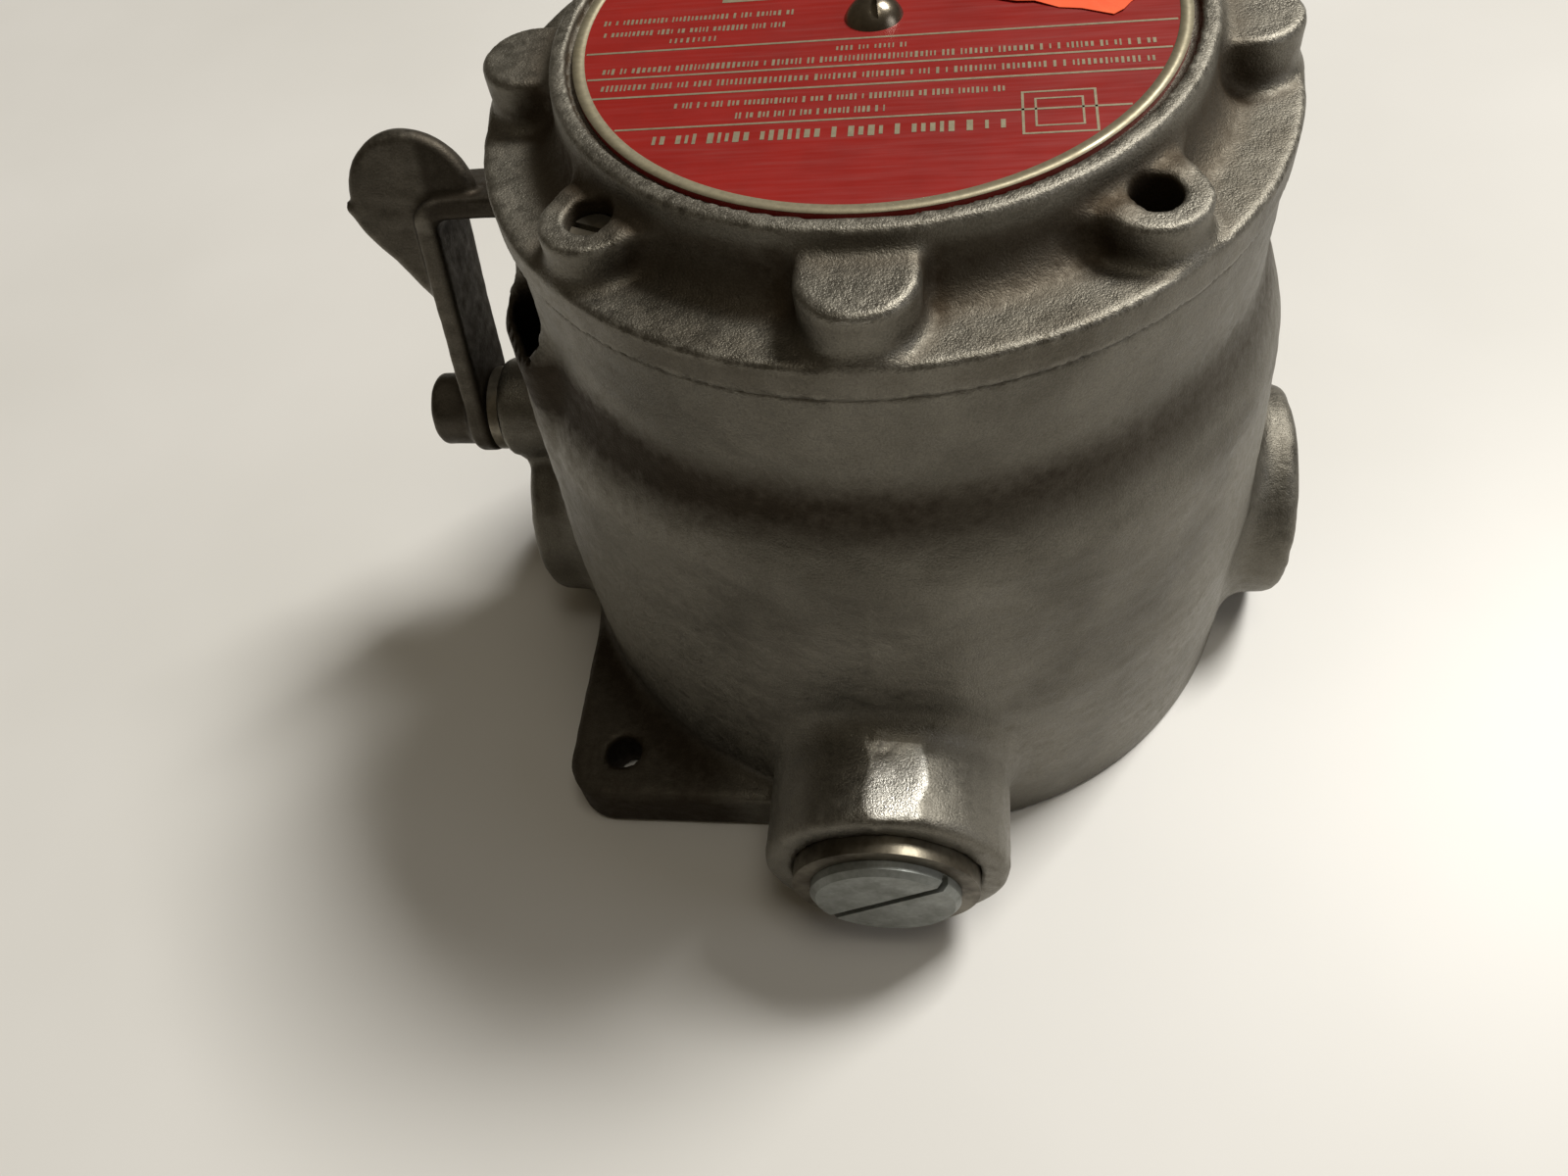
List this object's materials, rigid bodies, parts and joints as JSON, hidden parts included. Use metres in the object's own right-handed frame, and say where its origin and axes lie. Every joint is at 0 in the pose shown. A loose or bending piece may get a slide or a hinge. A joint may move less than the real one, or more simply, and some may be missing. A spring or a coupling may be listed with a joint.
{
  "type": "lever-operated receptacle box",
  "caption": "Round cast-aluminium hazardous-location receptacle box with bolted cover, conduit hubs, operating lever, rotary switch and spring-flap outlet.",
  "frame": {"origin": "centre of the mounting back, on the surface that the box rests on", "axes": "+Z out through the cover, -Y along the front conduit hub, -X along the lever shaft"},
  "size_m": [0.1765, 0.2145, 0.1338],
  "materials": {
    "cast_aluminium": "sand cast, dull",
    "cover_aluminium": "sand cast, dull",
    "lever_casting": "cast, dark film",
    "plate_red": "printed red plate, satin",
    "zinc_steel": "dull plated",
    "bushing_metal": "machined, dull",
    "plug_metal": "machined, dull",
    "bronze": "oil bronze",
    "contact_brass": "bright",
    "spring_steel": "satin",
    "phenolic": "moulded phenolic",
    "rubber": "matte",
    "lead_sheath": "satin",
    "ground_green": "green plated"
  },
  "bodies": {
    "box": {"body_casting": "cast_aluminium", "cover_casting": "cover_aluminium", "cover_screws": "zinc_steel", "rating_plate": "plate_red", "plate_screw": "zinc_steel", "reducing_bushing": "bushing_metal", "hub_plug": "plug_metal", "shaft_bushing": "bronze", "shaft_seal": "rubber", "detent_roller": "zinc_steel", "detent_leaf": "spring_steel", "switch_base": "phenolic", "base_screws": "zinc_steel", "fixed_contacts": "contact_brass", "terminal_screws": "contact_brass", "load_leads": "lead_sheath", "ground_screw": "ground_green", "receptacle_housing": "cast_aluminium", "receptacle_gasket": "rubber", "receptacle_screws": "zinc_steel", "receptacle_insulator": "phenolic", "contact_tubes": "contact_brass", "insulator_ring": "spring_steel", "flap_pin": "spring_steel", "flap_spring": "spring_steel"},
    "lever_and_rotor": {"operating_lever": "lever_casting", "lever_pin": "spring_steel", "lever_shaft": "zinc_steel", "thrust_washer": "zinc_steel", "retaining_ring": "spring_steel", "detent_disc": "zinc_steel", "rotor_core": "phenolic", "rotor_spacers": "phenolic", "moving_contacts": "contact_brass", "rotor_collars": "zinc_steel"},
    "flap": {"flap_cover": "cover_aluminium", "flap_gasket": "rubber"}
  },
  "joints": [
    {"name": "lever_turn", "type": "hinge", "parent": "box", "child": "lever_and_rotor", "pos_m": [0, 0, 0.0505], "axis": [1, 0, 0], "range_deg": [0, 60]},
    {"name": "flap_swing", "type": "hinge", "parent": "box", "child": "flap", "pos_m": [0, 0.1145, 0.0872], "axis": [1, 0, 0], "range_deg": [0, 110], "stiffness_Nm_per_rad": 0.04, "springref_deg": -34.38}
  ]
}
